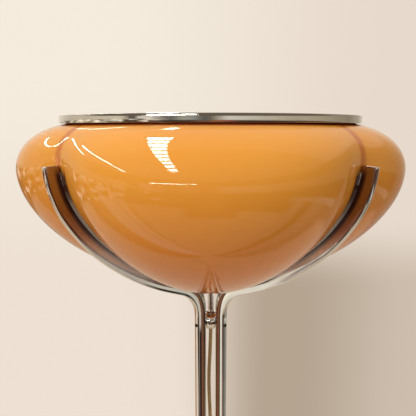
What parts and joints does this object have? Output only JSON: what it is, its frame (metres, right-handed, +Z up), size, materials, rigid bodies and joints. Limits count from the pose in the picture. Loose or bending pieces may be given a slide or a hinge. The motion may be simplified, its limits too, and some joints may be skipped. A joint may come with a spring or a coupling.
{
  "type": "floor lamp",
  "caption": "Uplighter floor lamp with a lobed caramel acrylic bowl, chrome ring and a stem of chrome flat bars that spread into arms and feet.",
  "frame": {"origin": "on the floor, on the stem's axis", "axes": "+Z up along the stem, -Y towards the front lobe, +X to the right"},
  "size_m": [0.5596, 0.8859, 1.3],
  "materials": {
    "bar_chrome": "mirror-polished chrome plate on steel flat bar",
    "ball_chrome": "mirror-polished chrome plate",
    "ring_chrome": "bright chrome with fine turning marks",
    "pipe_chrome": "bright chrome",
    "dark_screw": "black burnished steel",
    "pad_rubber": "matt black rubber",
    "shade_acrylic": "glossy butterscotch acrylic, white inside",
    "clear_bumper": "clear soft plastic",
    "zinc_steel": "bright zinc",
    "gasket_rubber": "matt rubber",
    "white_enamel": "satin white enamel",
    "branch_chrome": "bright chrome",
    "holder_white": "glazed white",
    "opal_glass": "opal glass",
    "cap_metal": "pressed metal",
    "block_ivory": "moulded",
    "cord_gold": "translucent golden flat twin cord",
    "strap_white": "woven tape",
    "switch_brown": "moulded dark brown",
    "button_cream": "moulded cream",
    "plug_cream": "moulded cream",
    "pin_brass": "nickel-washed brass"
  },
  "bodies": {
    "lamp": {"bar_front_left": "bar_chrome", "bar_front_right": "bar_chrome", "bar_rear_right": "bar_chrome", "bar_rear_left": "bar_chrome", "top_ball": "ball_chrome", "middle_ball": "ball_chrome", "lower_ball": "ball_chrome", "top_ring": "ring_chrome", "lamp_pipe": "pipe_chrome", "top_screws": "dark_screw", "middle_screws": "dark_screw", "lower_screws": "dark_screw", "foot_pads": "pad_rubber", "cord_bush": "pad_rubber", "cord_grips": "pad_rubber", "shade": "shade_acrylic", "arm_bumpers": "clear_bumper", "support_nut": "zinc_steel", "lower_washer": "zinc_steel", "upper_washer": "zinc_steel", "shade_nut": "zinc_steel", "hub_nuts": "zinc_steel", "lid_screw": "zinc_steel", "switch_screws": "zinc_steel", "switch_spring": "zinc_steel", "shade_gaskets": "gasket_rubber", "hub_body": "white_enamel", "hub_lid": "white_enamel", "holder_branches": "branch_chrome", "holder_front": "holder_white", "holder_right": "holder_white", "holder_rear": "holder_white", "holder_left": "holder_white", "terminal_block": "block_ivory", "switch_contacts": "block_ivory", "stem_cord": "cord_gold", "cord_to_switch": "cord_gold", "cord_to_coil": "cord_gold", "cord_coil": "cord_gold", "cord_to_plug": "cord_gold", "coil_strap": "strap_white", "switch_base": "switch_brown", "switch_cover": "switch_brown", "plug_body": "plug_cream", "plug_pins": "pin_brass"},
    "bulb_front_body": {"bulb_front": "opal_glass", "cap_front": "cap_metal"},
    "bulb_right_body": {"bulb_right": "opal_glass", "cap_right": "cap_metal"},
    "bulb_rear_body": {"bulb_rear": "opal_glass", "cap_rear": "cap_metal"},
    "bulb_left_body": {"bulb_left": "opal_glass", "cap_left": "cap_metal"},
    "switch_button_body": {"switch_button": "button_cream"}
  },
  "joints": [
    {"name": "bulb_front_unscrew", "type": "hinge", "parent": "lamp", "child": "bulb_front_body", "pos_m": [0, -0.09466, 1.16133], "axis": [0, -0.9659, 0.2588], "range_deg": [0, 1080]},
    {"name": "bulb_right_unscrew", "type": "hinge", "parent": "lamp", "child": "bulb_right_body", "pos_m": [0.09466, 0, 1.16133], "axis": [0.9659, 0, 0.2588], "range_deg": [0, 1080]},
    {"name": "bulb_rear_unscrew", "type": "hinge", "parent": "lamp", "child": "bulb_rear_body", "pos_m": [0, 0.09466, 1.16133], "axis": [0, 0.9659, 0.2588], "range_deg": [0, 1080]},
    {"name": "bulb_left_unscrew", "type": "hinge", "parent": "lamp", "child": "bulb_left_body", "pos_m": [-0.09466, 0, 1.16133], "axis": [-0.9659, 0, 0.2588], "range_deg": [0, 1080]},
    {"name": "switch_press", "type": "slide", "parent": "lamp", "child": "switch_button_body", "axis": [0, 0, -1], "range_m": [0, 0.003], "stiffness_N_per_m": 900, "springref_m": -0.002, "deforming": ["switch_spring"]}
  ]
}
